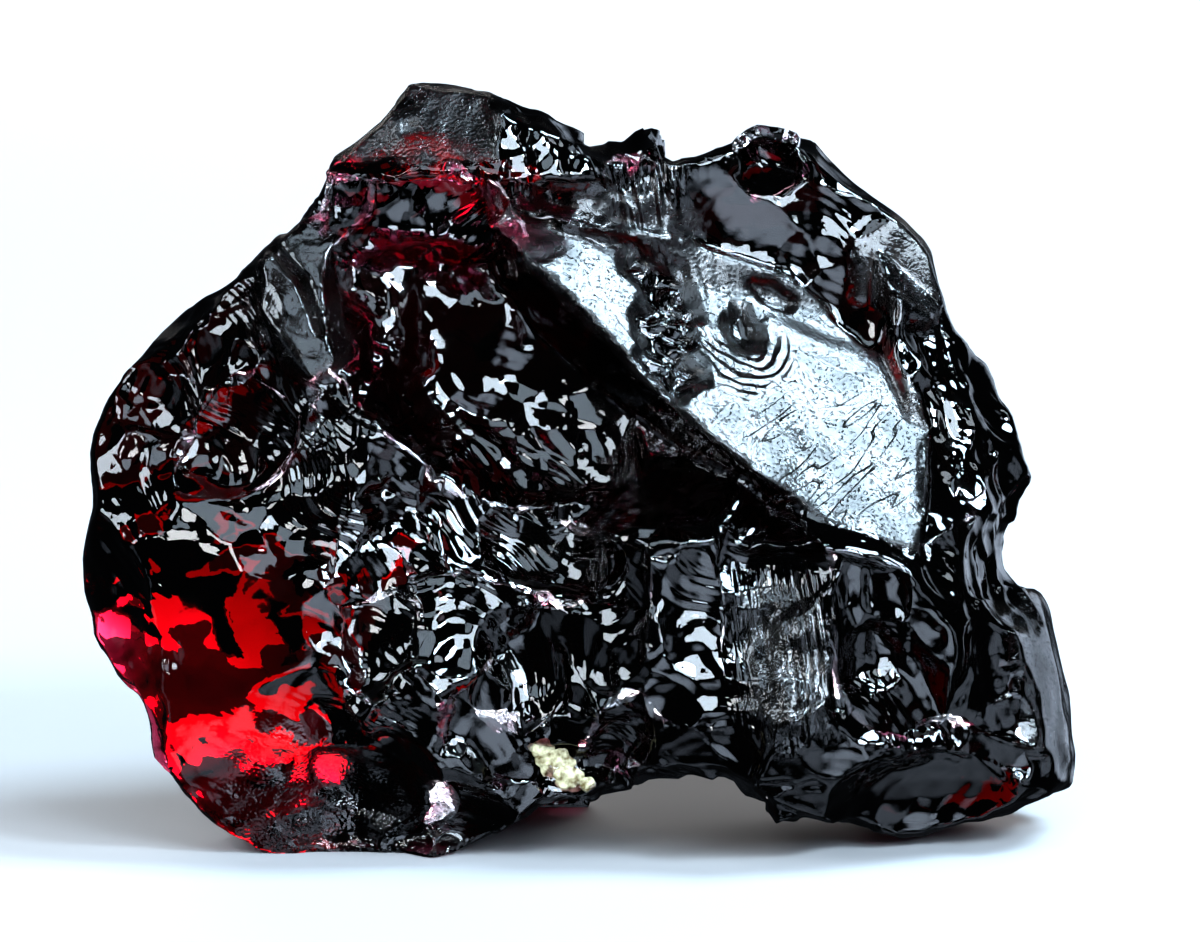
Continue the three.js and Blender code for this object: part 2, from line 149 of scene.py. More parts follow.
def fine_copy(node, name):
    """The CAD node's solid with small even faces, smaller still on the side with the broad face."""
    mesh = node.data.copy()
    piece = bpy.data.objects.new(name, mesh)
    bpy.context.scene.collection.objects.link(piece)
    work = bmesh.new()
    work.from_mesh(mesh)
    bmesh.ops.remove_doubles(work, verts=work.verts, dist=0.002 * MM)
    work.to_mesh(mesh)
    solid = BVHTree.FromBMesh(work)
    work.free()
    even = piece.modifiers.new("even", "REMESH")
    even.mode = "VOXEL"
    even.voxel_size = GRID * MM
    even.adaptivity = 0
    made = bpy.data.meshes.new_from_object(piece.evaluated_get(bpy.context.evaluated_depsgraph_get()))
    piece.modifiers.clear()
    piece.data = made
    made.name = name

    work = bmesh.new()
    work.from_mesh(made)
    toward = from_face((0, -1, 0))
    edges = {edge for face in work.faces if face.normal.dot(toward) > FINE_FROM for edge in face.edges}
    bmesh.ops.subdivide_edges(work, edges=list(edges), cuts=1, use_grid_fill=True)
    bmesh.ops.triangulate(work, faces=work.faces)
    for vertex in work.verts:
        vertex.co = solid.find_nearest(vertex.co)[0]
    work.to_mesh(made)
    work.free()
    return piece


def coordinates(mesh):
    co = np.empty(len(mesh.vertices) * 3)
    mesh.vertices.foreach_get("co", co)
    return co.reshape(-1, 3)


def normals(mesh):
    out = np.empty(len(mesh.vertices) * 3, np.float32)
    mesh.vertices.foreach_get("normal", out)
    return out.reshape(-1, 3).astype(float)


def turned(v, angle):
    c, s = math.cos(angle), math.sin(angle)
    return np.stack([v[:, 0], v[:, 1] * c - v[:, 2] * s, v[:, 1] * s + v[:, 2] * c], 1)


def to_face(rows):
    """Row-frame metres to face-frame millimetres."""
    return turned(rows / MM - MIDDLE, LEAN)


def to_row(faces):
    return (turned(faces, -LEAN) + MIDDLE) * MM


def from_face(direction):
    """A direction in the face frame, in the row frame."""
    v = turned(np.array([direction], float), -LEAN)[0]
    return Vector(v).normalized()


def links_of(mesh):
    e = np.empty(len(mesh.edges) * 2, np.int64)
    mesh.edges.foreach_get("vertices", e)
    return e.reshape(-1, 2)


def averaged(values, links, times=1):
    """Values evened out over neighbouring vertices."""
    flat = values.reshape(len(values), -1)
    count = np.bincount(links.ravel(), minlength=len(values))[:, None]
    for _ in range(times):
        total = np.zeros_like(flat)
        for k in range(flat.shape[1]):
            total[:, k] = np.bincount(links[:, 0], flat[links[:, 1], k], len(values))
            total[:, k] += np.bincount(links[:, 1], flat[links[:, 0], k], len(values))
        flat = 0.5 * flat + 0.5 * total / count
    return flat.reshape(values.shape)


# ---------------------------------------------------------------- places on the broad face


def patch(p, front, corners, soft=0.6, ragged=0.45):
    """1 inside a patch of the broad face, whose corners are given as (x, z), fading over `soft`.

    ragged is how far the patch's edge wanders from the straight lines between the corners.
    """
    xz = p[:, [0, 2]]
    inside = np.zeros(len(p), bool)
    near = np.full(len(p), 1e9)
    for i, a in enumerate(corners):
        b = corners[(i + 1) % len(corners)]
        a = np.array(a, float)
        run = np.array(b, float) - a
        along = np.clip(((xz - a) @ run) / (run @ run), 0, 1)
        near = np.minimum(near, np.linalg.norm(xz - a - along[:, None] * run, axis=1))
        cross = (xz[:, 1] > a[1]) != (xz[:, 1] > b[1])
        slope = run[0] / (run[1] if run[1] else 1e-9)
        inside ^= cross & (xz[:, 0] < a[0] + (xz[:, 1] - a[1]) * slope)
    depth = np.where(inside, near, -near) + ragged * rough_noise(p * 0.7, 3, 90)
    return smooth(-soft / 2, soft / 2, depth) * front


def streak(p, a, b, wide):
    """1 along the line from a to b on the broad face, fading to 0 at `wide` from it."""
    xz = p[:, [0, 2]]
    a = np.array(a, float)
    run = np.array(b, float) - a
    along = np.clip(((xz - a) @ run) / (run @ run), 0, 1)
    near = np.linalg.norm(xz - a - along[:, None] * run, axis=1)
    return 1 - smooth(0, wide, near)


BRIGHT = [(-3.7, 9.9), (2.4, 9.7), (4.8, 9.1), (8.4, 7.8), (13.6, 3.2), (13.9, 1.3), (13.4, -3.1),
          (9.6, -2.0), (4.8, 1.5), (0.3, 5.6)]
PIT_STRIP = [(2.5, 8.0), (3.6, 8.2), (4.4, 6.2), (4.3, 3.4), (3.3, 3.2), (2.5, 5.0)]
ROUND_PIT = (6.5, 5.5, 1.05)  # x, z, reach
PIT_Y = -5.6  # the bright face's y at the round pit
ROOF = [(-10.4, 11.2), (-1.6, 11.0), (-2.4, 9.6), (-4.6, 8.9), (-9.4, 9.2)]
HOLLOW = [(-8.4, 8.1), (-7.2, 8.8), (-3.0, 8.8), (0.8, 5.3), (4.8, 1.7), (12.8, -3.5), (7.2, -2.9),
          (2.4, -1.1), (-0.8, 1.7), (-4.0, 2.9), (-7.2, 4.5)]
HOLLOW_WALL = [(-6.2, 7.0), (-2.8, 7.0), (-2.4, 4.8), (-4.0, 3.2), (-6.2, 3.4)]
WALL_RISE = 0.03  # how much that wall leans back for each millimetre up
RIGHT_EDGE = [(17.6, -4.0), (19.0, -4.6), (20.2, -8.0), (20.2, -12.2), (17.8, -11.0), (17.0, -6.0)]
COLUMN_RIM = [((5.6, -3.0), (5.9, -9.8)), ((5.4, -3.2), (10.2, -3.8)), ((10.3, -3.8), (10.4, -10.4))]
FLUTES = [(4.3, 8.4), (6.0, 8.6), (6.2, 4.4), (5.4, 2.2), (4.2, 2.6)]
STRIAE = [(5.4, 1.8), (9.4, 4.2), (12.6, 3.0), (13.2, -1.0), (9.8, -1.4)]
CAP_TOP = [(-9.6, 12.4), (-6.4, 15.4), (-3.4, 15.2), (-3.2, 12.4), (-6.4, 12.1)]
CAP_BAND = [(-10.2, 12.2), (-3.0, 12.5), (-2.8, 11.2), (-10.3, 11.2)]
CAP_RIBS = [(-3.2, 15.0), (0.2, 14.2), (0.8, 11.4), (-3.0, 11.4)]
BAND = [(-4.0, 11.2), (0.8, 11.4), (5.0, 10.4), (4.9, 9.0), (2.4, 9.6), (-3.7, 10.0)]
HUMP_FACE = [(1.2, 12.6), (4.0, 12.4), (4.4, 9.8), (1.2, 9.8)]
FLANK = [(12.4, 6.4), (15.4, 5.8), (18.2, 0.8), (18.0, -1.6), (14.2, -0.6), (13.6, 2.4)]
SMOOTH_FACET = [(10.8, 9.2), (12.6, 10.4), (14.3, 9.6), (15.0, 7.0), (14.0, 5.8), (10.8, 6.8)]
SHOULDER = [(-12.6, 10.2), (-9.8, 10.4), (-8.8, 4.8), (-10.6, 3.0), (-13.0, 5.6)]
HACKLE_LEFT = [(-17.8, 5.4), (-12.4, 8.4), (-9.2, 5.0), (-7.2, 3.6), (-4.4, 4.2), (-0.8, 1.2), (1.0, -2.6),
               (-3.0, -4.6), (-9.6, -3.4), (-13.0, -1.8), (-17.4, -1.4)]
DARK_RED = [(-16.8, -1.6), (-12.8, -2.0), (-9.6, -3.6), (-9.6, -8.0), (-12.4, -10.6), (-15.4, -9.0)]
LUMPS = [(-9.4, -4.6), (-5.0, -3.6), (-0.8, -5.0), (2.4, -2.9), (5.4, -2.5), (6.0, -5.0), (6.0, -11.6),
         (-1.0, -13.4), (-6.0, -12.0), (-9.2, -8.8)]
BRUSHED = [(5.8, -3.4), (9.6, -3.8), (10.4, -5.0), (10.4, -10.6), (7.6, -11.2), (6.0, -9.6)]
SATIN_FACET = [(6.4, -5.0), (8.8, -4.4), (9.8, -5.6), (10.0, -10.2), (7.8, -11.0), (6.4, -9.2)]
FLUTED = [(9.6, -3.6), (13.0, -4.2), (13.2, -8.2), (10.0, -8.6)]
SCOOP = [(9.6, -12.6), (10.8, -11.4), (12.8, -10.7), (15.2, -10.5), (17.4, -11.0), (19.9, -12.2),
         (19.4, -14.0), (12.0, -15.0), (9.0, -14.6)]
LOW_LEFT = [(-13.8, -11.0), (-9.4, -10.2), (-5.4, -12.4), (-5.0, -15.8), (-13.4, -15.4)]
FLECK_GRAINS = [
    (-0.9, -11.5, 0.75),
    (-0.4, -12.1, 0.62),
    (-1.5, -10.9, 0.5),
    (0.3, -12.3, 0.34),
]  # x, z, size
FLECK_FORM = (1.0, 0.2, 0.8)  # the grains are flat, along the broad face
IN_FRONT = -20.0  # a y that lies clear of the stone, on the viewer's side
NOTCH = ((7.0, 7.4), (8.2, 6.9))  # in the bright face's top edge
SHOULDER_CRACK = [((-12.1, 8.9), (-11.0, 7.6)), ((-11.0, 7.6), (-10.2, 5.6))]
ENDS = (17.6, 19.2)  # scars fade out between these distances to the left and right, so the outline keeps

# ripples that spread from a blow: x, z, reach, wavelength, height
RIPPLES = [
    (-2.6, 13.4, 5.4, 0.9, 0.03),
    (20.0, -15.4, 9.0, 1.3, 0.04),
    (-6.6, 18.0, 5.6, 0.8, 0.02),
    (-10.6, -16.4, 7.8, 1.1, 0.03),
]

# sharp little steps side by side: patch, direction across them (x, z), width, height, bow, soft edge, seed
STEPS = [
    (CAP_RIBS, (1, 0.25), 1.3, 0.26, 0.0, 0.6, 1),
    (FLANK, (1, 0.55), 1.3, 0.3, 0.01, 0.8, 2),
    (FLUTED, (1, 0.1), 1.1, 0.24, 0.0, 0.6, 3),
    (HUMP_FACE, (1, 0.2), 0.6, 0.14, 0.0, 0.6, 4),
    (SATIN_FACET, (0.9, 0.3), 0.8, 0.08, 0.012, 0.6, 5),
    (BAND, (0.5, 1), 0.7, 0.1, 0.0, 0.6, 6),
    (FLUTES, (1, 0.18), 0.62, 0.07, 0.0, 0.6, 9),
    (SCOOP, (1, 0.5), 1.6, 0.06, 0.02, 0.6, 7),
    (SHOULDER, (0.8, 0.7), 1.6, 0.07, 0.02, 0.6, 8),
]


def worked_surface(piece):
    """Moves the fine copy's vertices into ripples, steps, chips and pits, and stores where each kind is."""
    mesh = piece.data
    links = links_of(mesh)
    start = coordinates(mesh)
    p = to_face(start)
    n = turned(normals(mesh), LEAN)
    broad = averaged(n, links, 6)
    broad /= np.linalg.norm(broad, axis=1)[:, None]
    front = smooth(-0.1, 0.25, -broad[:, 1])
    free = smooth(0.15, 0.6, start[:, 2] / MM)  # 0 where the stone stands on the floor

    # how far each vertex stands out from its neighbours: ridges are positive, valleys negative
    ridge = np.einsum("ij,ij->i", p - averaged(p, links, 3), n)

    def on(corners, soft=0.6, ragged=0.45):
        return patch(p, front, corners, soft, ragged)

    bright = on(BRIGHT, 0.3, 0.1)
    hackle = np.clip(on(HACKLE_LEFT, 1.6) + 0.55 * on(LUMPS, 1.2) + 0.3 * on(FLANK, 1.0), 0, 1)
    calm = bright + on(CAP_BAND, 0.5) + on(DARK_RED, 2.0) + on(SCOOP, 1.0) + on(SMOOTH_FACET, 0.5)
    calm += 0.9 * on(SHOULDER, 0.8) + 0.3 * on(SATIN_FACET, 0.8) + 0.6 * on(CAP_TOP, 0.5)
    calm = np.clip(calm + 0.85 * on(HOLLOW, 1.2) + 0.9 * on(RIGHT_EDGE, 0.8), 0, 1)
    hackle = np.clip(np.maximum(hackle, 0.32 + 0.5 * rough_noise(p * 0.22, 2, 3)) * (1 - 0.85 * calm), 0, 1)
    clumps = smooth(-0.35, 0.35, rough_noise(p * 0.38, 2, 31))

    move = 0.1 * rough_noise(p * 0.42, 2, 1) * (1 - 0.6 * bright) + 0.035 * hackle * noise(p * 1.8, 53)
    back = 1 - front
    ridges = smooth(0.04, 0.14, ridge)
    plain = (1 - 0.9 * calm) * (1 - bright)

    # the smooth facets keep clear of scars that start beside them
    clean = on(SHOULDER, 0.5, 0.25) + on(SMOOTH_FACET, 0.5, 0.25) + 0.9 * on(HOLLOW, 1.2) + bright
    open_to = free * (1 - 0.85 * np.clip(clean, 0, 1)) * (1 - 0.8 * smooth(*ENDS, np.abs(p[:, 0])))

    def struck(p, count, reach, depth, likely, seed, wave=0.0, where=open_to):
        return p + broad * (scars(p, broad, count, reach, depth, likely, seed, wave) * where)[:, None]

    # broad scars first, then smaller ones in the hackly parts, then chips along the ridges
    broken = plain * (0.01 + 0.15 * hackle) + back
    p = struck(p, 60, (2.4, 5.0), (0.05, 0.1), broken, 1, 0.012)
    flaked = plain * (0.02 + hackle**2) + 0.12 * back
    p = struck(p, 560, (0.9, 2.4), (0.1, 0.26), flaked, 2, 0.01)
    chipped = plain * (0.02 + hackle**2 * clumps + ridges) + 0.1 * back
    p = struck(p, 1500, (0.4, 1.1), (0.14, 0.36), chipped, 3)

    # small chips in the pitted strip and the round pit, along the column's rim, and under the cap
    strip = on(PIT_STRIP, 0.4, 0.7)
    pit_x, pit_z, pit_reach = ROUND_PIT
    from_pit = np.hypot(1.2 * (p[:, 0] - pit_x), p[:, 2] - pit_z) + 0.45 * rough_noise(p * 0.8, 2, 8)
    pit = (1 - smooth(0.1 * pit_reach, pit_reach, from_pit)) * front
    p = struck(p, 110, (0.3, 0.75), (0.25, 0.55), strip + 0.5 * pit + 1e-9, 4, where=free)
    rim = np.maximum.reduce([streak(p, a, b, 1.1) for a, b in COLUMN_RIM]) * front
    p = struck(p, 150, (0.5, 1.5), (0.15, 0.36), rim + 1e-9, 5)
    p = struck(p, 150, (0.4, 1.2), (0.2, 0.45), on(ROOF, 0.6) + 1e-9, 6)

    # one wall of the hollow faces the viewer squarely, so it mirrors only the dark room
    wall = on(HOLLOW_WALL, 1.8)
    middle = (p * wall[:, None]).sum(0) / wall.sum()
    squared = middle[1] + WALL_RISE * (p[:, 2] - middle[2])
    p[:, 1] += 0.9 * wall * (squared - p[:, 1])

    for x, z, reach, wave, height in RIPPLES:
        away = np.hypot(p[:, 0] - x, p[:, 2] - z) + 0.22 * noise(p * 0.7, 8)
        move += height * front * np.sin(2 * np.pi * away / wave) * (1 - smooth(0.35 * reach, reach, away))

    def steps(corners, across, wave, height, bow, soft, seed):
        """Sharp little steps side by side, running square to the direction `across` (x, z)."""
        side = (p[:, 0] * across[0] + p[:, 2] * across[1]) / math.hypot(*across)
        run = (p[:, 0] * across[1] - p[:, 2] * across[0]) / math.hypot(*across)
        phase = side / wave + bow * run * run + 0.35 * noise(p * 0.8, 70 + seed)
        tooth = phase - np.floor(phase)
        rise = np.where(tooth < 0.6, tooth / 0.6, (1 - tooth) / 0.4)
        strength = 0.55 + 0.45 * noise(p * 0.6, 80 + seed)
        return height * (rise - 0.5) * on(corners, soft) * strength

    for kind in STEPS:
        move += steps(*kind)

    # in the bright face: the pitted strip, a round pit with arcs below it, and a notch at its top edge
    move -= 0.3 * strip * smooth(-0.4, 0.3, noise(p * 1.3, 12))
    move -= 0.4 * pit * (0.8 + 0.6 * noise(p * 1.8, 15))
    below = smooth(-0.1, 0.6, (pit_z - p[:, 2]) / np.maximum(from_pit, 0.1))
    arcs = below * smooth(0.7 * pit_reach, pit_reach, from_pit) * (1 - smooth(1.8, 2.6, from_pit)) * front
    notch = streak(p, *NOTCH, 0.75) + 0.5 * noise(p * 1.2, 17)
    move -= 0.45 * smooth(0.35, 0.75, notch) * front

    # a thin curved crack on the shoulder
    for a, b in SHOULDER_CRACK:
        move -= 0.45 * streak(p, a, b, 0.3) * front

    p = p + n * (move * free)[:, None]
    p += EVENED * (averaged(p, links) - p) * free[:, None]
    moved = to_row(p)
    low, high = (np.array(corner) for corner in cad_box)
    moved = np.clip(moved, low, high)
    moved[free < 0.01] = np.minimum(moved[free < 0.01], start[free < 0.01] + 1e-6)
    mesh.vertices.foreach_set("co", moved.ravel())
    mesh.update()

    def keep(name, values):
        layer = mesh.attributes.new(name, "FLOAT", "POINT")
        layer.data.foreach_set("value", np.clip(values, 0, 1).astype(np.float32))

    satin = bright + 0.8 * on(BAND, 0.5) + 0.7 * on(CAP_TOP, 0.5) + 0.55 * on(SMOOTH_FACET, 0.5)
    satin += 0.35 * on(SATIN_FACET, 1.0) + 0.4 * on(HUMP_FACE, 0.5) + 0.5 * on(SHOULDER, 1.0)
    satin += 0.5 * on(RIGHT_EDGE, 0.8)
    satin = np.clip(satin, 0, 1) * (1 - 0.85 * strip) * (1 - 0.8 * pit)
    keep("satin", satin)
    keep("grain", np.clip(on(CAP_TOP, 0.5) + 0.6 * on(SATIN_FACET, 1.2) + 0.8 * on(LOW_LEFT, 2.0), 0, 1))
    keep("striae", on(STRIAE, 1.6) * smooth(-0.25, 0.25, noise(p / 2.4, 51)))
    keep("patchy", 0.5 + 0.9 * rough_noise(p / 1.6, 2, 52))
    bend = mesh.attributes.new("bend", "FLOAT_VECTOR", "POINT")
    bends = np.stack([noise(p / FAN_SIZE, 60 + k) for k in range(3)], 1) * FAN_BEND
    bend.data.foreach_set("vector", bends.astype(np.float32).ravel())
    keep("arcs", arcs)
    brushed = np.clip(on(BRUSHED, 1.2) + on(HUMP_FACE, 0.6), 0, 1)
    keep("brushed", brushed)
    keep("drawn", hackle * (1 - smooth(0.2, 0.5, brushed)) + smooth(0.5, 0.8, brushed))
    return piece


def without_slivers(mesh):
    """Drops faces that the work on the surface has pinched to nothing."""
    work = bmesh.new()
    work.from_mesh(mesh)
    bmesh.ops.dissolve_degenerate(work, edges=work.edges, dist=SLIVER * MM)
    bmesh.ops.triangulate(work, faces=work.faces)
    work.to_mesh(mesh)
    work.free()


# ---------------------------------------------------------------- materials


def node_of(tree, kind, **settings):
    made = tree.nodes.new(kind)
    for key, value in settings.items():
        setattr(made, key, value)
    return made


STONE_IOR = 1.6
ABSORPTION = 2200  # per metre of stone, before each colour's share
ABSORBED = (600, 2100, 1600)  # red, green and blue light lost per metre, so only thin parts glow
HANDLED_ROUGHNESS = 0.09  # the most that handling adds, in patches
SATIN_ROUGHNESS = 0.26
GRAIN_ROUGHNESS = 0.12
SPECK_SIZE = 0.14
SPECK_HEIGHT = 0.04
SPECK_PITS = (0.64, 0.74)  # the noise values between which a speck turns into a pit
SPECK_PIT_DEPTH = 0.05
LINE_HEIGHT = 0.16  # of the fans and the brushed lines
CRACK_DEPTH = 0.045
RING_GAP = 0.4
RING_DEPTH = 0.12
# fine lines: degrees that they slope in the broad face, and how far noise is drawn out along x, y and z
FANS = (40, (3.0, 3.0, 0.4))
BRUSHING = (-8, (0.24, 8.0, 2.6))
CRACKS = (-34, (2.4, 24, 0.48))
MIX_A, MIX_B, MIX_RESULT = 4, 5, 1  # where a mix node keeps its vector sockets


def crystal_material():
    mat = bpy.data.materials.new("painite_crystal")
    mat.use_nodes = True
    tree = mat.node_tree
    tree.nodes.clear()
    link = tree.links.new
    out = node_of(tree, "ShaderNodeOutputMaterial")
    shader = node_of(tree, "ShaderNodeBsdfPrincipled", distribution="GGX")
    shader.inputs["Base Color"].default_value = (1, 1, 1, 1)
    shader.inputs["Transmission Weight"].default_value = 1.0
    shader.inputs["IOR"].default_value = STONE_IOR
    link(shader.outputs["BSDF"], out.inputs["Surface"])
    dark = node_of(tree, "ShaderNodeVolumeAbsorption")
    dark.inputs["Color"].default_value = (*(1 - k / ABSORPTION for k in ABSORBED), 1)
    dark.inputs["Density"].default_value = ABSORPTION
    link(dark.outputs["Volume"], out.inputs["Volume"])

    place = node_of(tree, "ShaderNodeTexCoord")
    scale = node_of(tree, "ShaderNodeMapping")
    scale.inputs["Scale"].default_value = (1 / MM, 1 / MM, 1 / MM)
    link(place.outputs["Object"], scale.inputs["Vector"])
    mm = scale.outputs["Vector"]

    def stored(name):
        return node_of(tree, "ShaderNodeAttribute", attribute_name=name).outputs["Fac"]

    def grains(size, vector=mm):
        tex = node_of(tree, "ShaderNodeTexNoise")
        tex.inputs["Scale"].default_value = 1 / size
        tex.inputs["Detail"].default_value = 0
        link(vector, tex.inputs["Vector"])
        return tex.outputs["Fac"]

    def maths(operation, a, b=0.0):
        made = node_of(tree, "ShaderNodeMath", operation=operation)
        for socket, value in zip(made.inputs, (a, b)):
            if isinstance(value, (int, float)):
                socket.default_value = value
            else:
                link(value, socket)
        return made.outputs["Value"]

    def spread(value, low, high, to_low, to_high):
        made = node_of(tree, "ShaderNodeMapRange")
        made.inputs["From Min"].default_value = low
        made.inputs["From Max"].default_value = high
        made.inputs["To Min"].default_value = to_low
        made.inputs["To Max"].default_value = to_high
        link(value, made.inputs["Value"])
        return made.outputs["Result"]

    satin, grain, striae, arcs, patchy = (stored(k) for k in ("satin", "grain", "striae", "arcs", "patchy"))

    # Roughness: glassy where the break is smooth, satin on the bright face, patchy with handling
    rough = spread(patchy, 0.5, 1.0, 0.0, HANDLED_ROUGHNESS)
    rough = maths("ADD", rough, maths("MULTIPLY", satin, SATIN_ROUGHNESS))
    rough = maths("ADD", rough, maths("MULTIPLY", grain, GRAIN_ROUGHNESS))
    link(rough, shader.inputs["Roughness"])

    # Heights in millimetres: a leathery grain and fine specks
    speckle = grains(SPECK_SIZE)
    fine = maths("MULTIPLY", maths("SUBTRACT", speckle, 0.5), SPECK_HEIGHT)
    fine = maths("MULTIPLY", fine, maths("ADD", maths("MULTIPLY", satin, 0.3), maths("ADD", grain, 0.05)))
    fine = maths("ADD", fine, maths("MULTIPLY", spread(speckle, *SPECK_PITS, 0.0, -SPECK_PIT_DEPTH), satin))

    def drawn_out(vector, turn, lengths):
        """Coordinates turned by `turn` degrees in the broad face and stretched to `lengths`."""
        made = node_of(tree, "ShaderNodeMapping", vector_type="TEXTURE")
        made.inputs["Rotation"].default_value = (0, math.radians(turn), 0)
        made.inputs["Scale"].default_value = lengths
        link(vector, made.inputs["Vector"])
        return made.outputs["Vector"]

    def chosen(where, inside, outside):
        """One set of coordinates where a stored value is over a limit, and another elsewhere."""
        name, limit = where
        made = node_of(tree, "ShaderNodeMix", data_type="VECTOR")
        link(maths("GREATER_THAN", stored(name), limit), made.inputs["Factor"])
        link(outside, made.inputs[MIX_A])
        link(inside, made.inputs[MIX_B])
        return made.outputs[MIX_RESULT]

    # Fine lines: curved fans over the small fracture marks, upright ones on the brushed facets,
    # and cracks that run down to the left across the bright face
    curved = node_of(tree, "ShaderNodeVectorMath", operation="ADD")
    link(node_of(tree, "ShaderNodeAttribute", attribute_name="bend").outputs["Vector"], curved.inputs[0])
    link(mm, curved.inputs[1])
    ways = drawn_out(curved.outputs["Vector"], *FANS)
    ways = chosen(("brushed", 0.5), drawn_out(mm, *BRUSHING), ways)
    ways = chosen(("striae", 0.02), drawn_out(mm, *CRACKS), ways)
    winding = maths("SUBTRACT", grains(1.0, ways), 0.5)
    lines = maths("MULTIPLY", winding, maths("MULTIPLY", stored("drawn"), LINE_HEIGHT))
    cracks = maths("MULTIPLY", spread(maths("ABSOLUTE", winding), 0.0, 0.02, -CRACK_DEPTH, 0.0), striae)
    lines = maths("ADD", lines, cracks)

    # Arcs that spread below the round pit, each one a sharp little step
    x, z, _ = ROUND_PIT
    apart = node_of(tree, "ShaderNodeVectorMath", operation="DISTANCE")
    link(mm, apart.inputs[0])
    apart.inputs[1].default_value = to_row(np.array([[x, PIT_Y, z]]))[0] / MM
    rings = maths("ADD", maths("DIVIDE", apart.outputs["Value"], RING_GAP), patchy)
    rings = maths("MULTIPLY", spread(maths("FRACT", rings), 0.0, 0.4, -RING_DEPTH, 0.0), arcs)
    lines = maths("ADD", lines, rings)

    height = maths("ADD", fine, lines)
    bump = node_of(tree, "ShaderNodeBump")
    bump.inputs["Strength"].default_value = 1.0
    bump.inputs["Distance"].default_value = MM
    link(height, bump.inputs["Height"])
    link(bump.outputs["Normal"], shader.inputs["Normal"])
    return mat


def fleck_material():
    """Yellow-white grains, some clearer than others."""
    mat = bpy.data.materials.new("mineral_fleck")
    mat.use_nodes = True
    tree = mat.node_tree
    shader = tree.nodes["Principled BSDF"]
    place = node_of(tree, "ShaderNodeTexCoord")
    tex = node_of(tree, "ShaderNodeTexNoise")
    tex.inputs["Scale"].default_value = 1 / (0.3 * MM)
    tree.links.new(place.outputs["Object"], tex.inputs["Vector"])
    tone = node_of(tree, "ShaderNodeValToRGB")
    tone.color_ramp.elements[0].position = 0.35
    tone.color_ramp.elements[0].color = (0.16, 0.12, 0.05, 1)
    tone.color_ramp.elements[1].position = 0.62
    tone.color_ramp.elements[1].color = (0.7, 0.66, 0.42, 1)
    tree.links.new(tex.outputs["Fac"], tone.inputs["Fac"])
    tree.links.new(tone.outputs["Color"], shader.inputs["Base Color"])
    shader.inputs["Roughness"].default_value = 0.25
    return mat


def mineral_fleck(stone):
    """Grains of a paler mineral, sunk in the lower edge of the broad face."""
    work = bmesh.new()
    toward = from_face((0, 1, 0))
    for x, z, size in FLECK_GRAINS:
        start = Vector(to_row(np.array([[x, IN_FRONT, z]]))[0])
        found, where, _, _ = stone.ray_cast(start, toward)
        if not found:
            continue
        grain = bmesh.ops.create_icosphere(work, subdivisions=3, radius=1.0)["verts"]
        shape = np.array([v.co for v in grain])
        shape *= (1 + 0.4 * rough_noise(shape * 1.1 + x * 9, 3, 41))[:, None]
        for vertex, point in zip(grain, shape * FLECK_FORM):
            vertex.co = where + Vector(point) * size * MM
    mesh = bpy.data.meshes.new("mineral_fleck")
    work.to_mesh(mesh)
    work.free()
    mesh.materials.append(fleck_material())
    fleck = bpy.data.objects.new("mineral_fleck", mesh)
    bpy.context.scene.collection.objects.link(fleck)
    return fleck


def floor_material():
    mat = bpy.data.materials.new("pale_floor")
    mat.use_nodes = True
    shader = mat.node_tree.nodes["Principled BSDF"]
    shader.inputs["Base Color"].default_value = (0.45, 0.46, 0.47, 1)
    shader.inputs["Roughness"].default_value = 0.9
    shader.inputs["Specular IOR Level"].default_value = 0.1
    return mat


# ---------------------------------------------------------------- camera, floor and lights

AIM = to_row(np.array([[0.8, 0.0, 0.04]]))[0]  # the middle of the view
DISTANCE = 0.5
VIEW_WIDTH = 48.0  # millimetres across the picture, at the stone


def add_camera():
    data = bpy.data.cameras.new("camera")
    data.sensor_width = 36
    data.lens = data.sensor_width * DISTANCE / (VIEW_WIDTH * MM)
    data.clip_start = 0.01
    data.clip_end = 20
    camera = bpy.data.objects.new("camera", data)
    bpy.context.scene.collection.objects.link(camera)
    back = from_face((0, -1, 0))
    camera.location = Vector(AIM) + back * DISTANCE
    camera.rotation_mode = "QUATERNION"
    camera.rotation_quaternion = (-back).to_track_quat("-Z", "Y")
    bpy.context.scene.camera = camera


def add_panel(name, direction, distance, size, brightness, colour):
    """A soft square light that faces the stone; its brightness is what the stone would mirror."""
    data = bpy.data.lights.new(name, "AREA")
    data.shape = "SQUARE"
    data.size = size
    data.energy = brightness * math.pi * size * size
    data.color = colour
    lamp = bpy.data.objects.new(name, data)
    bpy.context.scene.collection.objects.link(lamp)
    lamp.location = Vector(AIM) + direction * distance
    lamp.rotation_mode = "QUATERNION"
    lamp.rotation_quaternion = (-direction).to_track_quat("-Z", "Y")


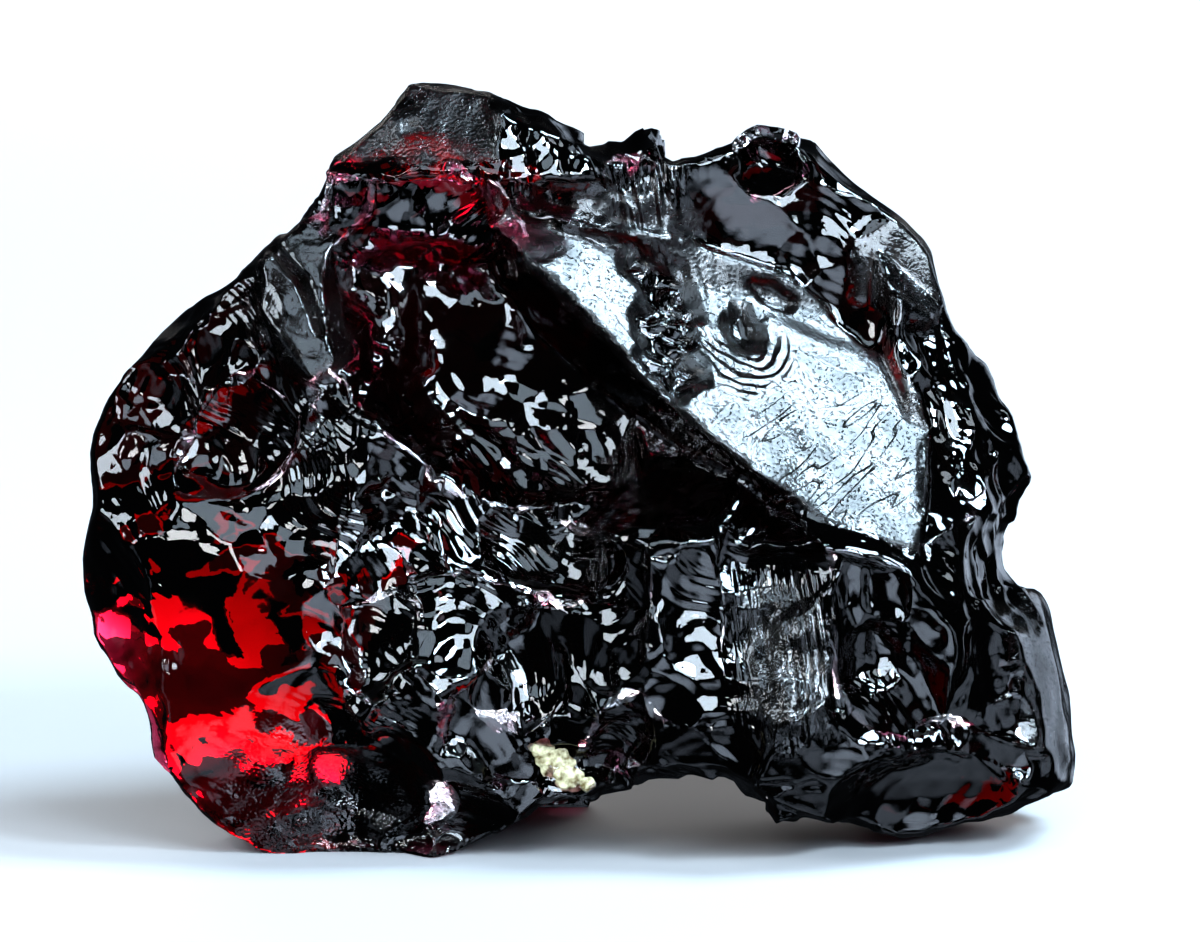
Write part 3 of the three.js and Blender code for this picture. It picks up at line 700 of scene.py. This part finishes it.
# name, direction in the face frame, distance, size, brightness, colour
PANELS = [
    ("key", (0.55, -0.15, 0.82), 0.35, 0.13, 33.0, (0.64, 0.84, 1.0)),
    ("front_top", (-0.02, -0.68, 0.73), 0.5, 0.26, 3.6, (0.7, 0.85, 1.0)),
    ("ledge", (0.6, -0.63, 0.48), 0.45, 0.08, 78.0, (0.68, 0.85, 1.0)),
    ("left_spark", (-0.73, -0.45, 0.52), 0.5, 0.2, 10.0, (0.8, 0.9, 1.0)),
    ("right_spark", (0.8, -0.38, 0.46), 0.5, 0.08, 5.0, (0.8, 0.9, 1.0)),
    ("front_spark", (-0.25, -0.9, 0.36), 0.45, 0.09, 12.0, (0.94, 0.97, 1.0)),
    ("front_right", (0.44, -0.83, 0.35), 0.45, 0.18, 14.0, (0.74, 0.87, 1.0)),
    ("glow", (0.0, 1.0, 0.1), 0.5, 0.46, 15.0, (1.0, 0.97, 0.95)),
    ("back", (0.4, 0.75, 0.55), 0.8, 0.4, 1.6, (1.0, 0.98, 0.96)),
]

# dim patches of light round the room: direction in the face frame, reach in degrees, brightness
GLIMMERS = [
    ((0.3, -0.86, -0.42), 25, 3.4),
    ((0.05, -0.38, -0.92), 16, 1.0),
    ((0.75, -0.35, -0.55), 25, 1.2),
    ((-0.9, -0.4, -0.1), 18, 0.5),
    ((0.9, -0.42, 0.02), 16, 1.4),
    ((0.1, 0.3, -0.93), 30, 0.5),
    ((0.6, 0.8, 0.15), 25, 1.4),
]
GLIMMER_CORE = 0.4  # the share of its reach over which a patch is evenly bright
ROOM_LIGHT = 0.02


def studio_world():
    """A dark room with a few dim, soft patches of light in it."""
    world = bpy.data.worlds.new("studio")
    world.use_nodes = True
    tree = world.node_tree
    link = tree.links.new
    sky = tree.nodes["Background"]
    sky.inputs["Color"].default_value = (0.7, 0.82, 1.0, 1)
    view = tree.nodes.new("ShaderNodeTexCoord")
    total = None
    for direction, reach, brightness in GLIMMERS:
        toward = tree.nodes.new("ShaderNodeVectorMath")
        toward.operation = "DOT_PRODUCT"
        link(view.outputs["Generated"], toward.inputs[0])
        toward.inputs[1].default_value = from_face(direction)
        glow = tree.nodes.new("ShaderNodeMapRange")
        glow.interpolation_type = "SMOOTHSTEP"
        glow.inputs["From Min"].default_value = math.cos(math.radians(reach))
        glow.inputs["From Max"].default_value = math.cos(math.radians(GLIMMER_CORE * reach))
        glow.inputs["To Max"].default_value = brightness
        link(toward.outputs["Value"], glow.inputs["Value"])
        sum_up = tree.nodes.new("ShaderNodeMath")
        sum_up.operation = "ADD"
        link(glow.outputs["Result"], sum_up.inputs[0])
        if total is None:
            sum_up.inputs[1].default_value = ROOM_LIGHT
        else:
            link(total, sum_up.inputs[1])
        total = sum_up.outputs["Value"]
    link(total, sky.inputs["Strength"])
    return world


def add_studio():
    bpy.ops.mesh.primitive_circle_add(vertices=128, radius=4.0, fill_type="NGON")
    floor = bpy.context.object
    floor.name = "floor"
    floor.data.materials.append(floor_material())
    floor.visible_glossy = False  # the real stone is seen held in the air, so it mirrors no floor
    for name, direction, distance, size, brightness, colour in PANELS:
        add_panel(name, from_face(direction), distance, size, brightness, colour)
    for name in ("glow", "back"):
        bpy.data.objects[name].visible_glossy = False  # these two only shine through the stone
    bpy.context.scene.world = studio_world()
    bpy.context.scene.view_settings.view_transform = "Standard"
    bpy.context.scene.view_settings.look = "Medium High Contrast"


# ---------------------------------------------------------------- the scene

stone = fine_copy(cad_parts["painite_crystal"], "painite_stone")
worked_surface(stone)
without_slivers(stone.data)
stone.data.materials.clear()
stone.data.materials.append(crystal_material())
stone.data.shade_smooth()
stone.data.set_sharp_from_angle(angle=SHARP)
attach(stone, "root")
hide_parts("painite_crystal")

fleck = mineral_fleck(stone)
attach(fleck, "root")

add_camera()
add_studio()
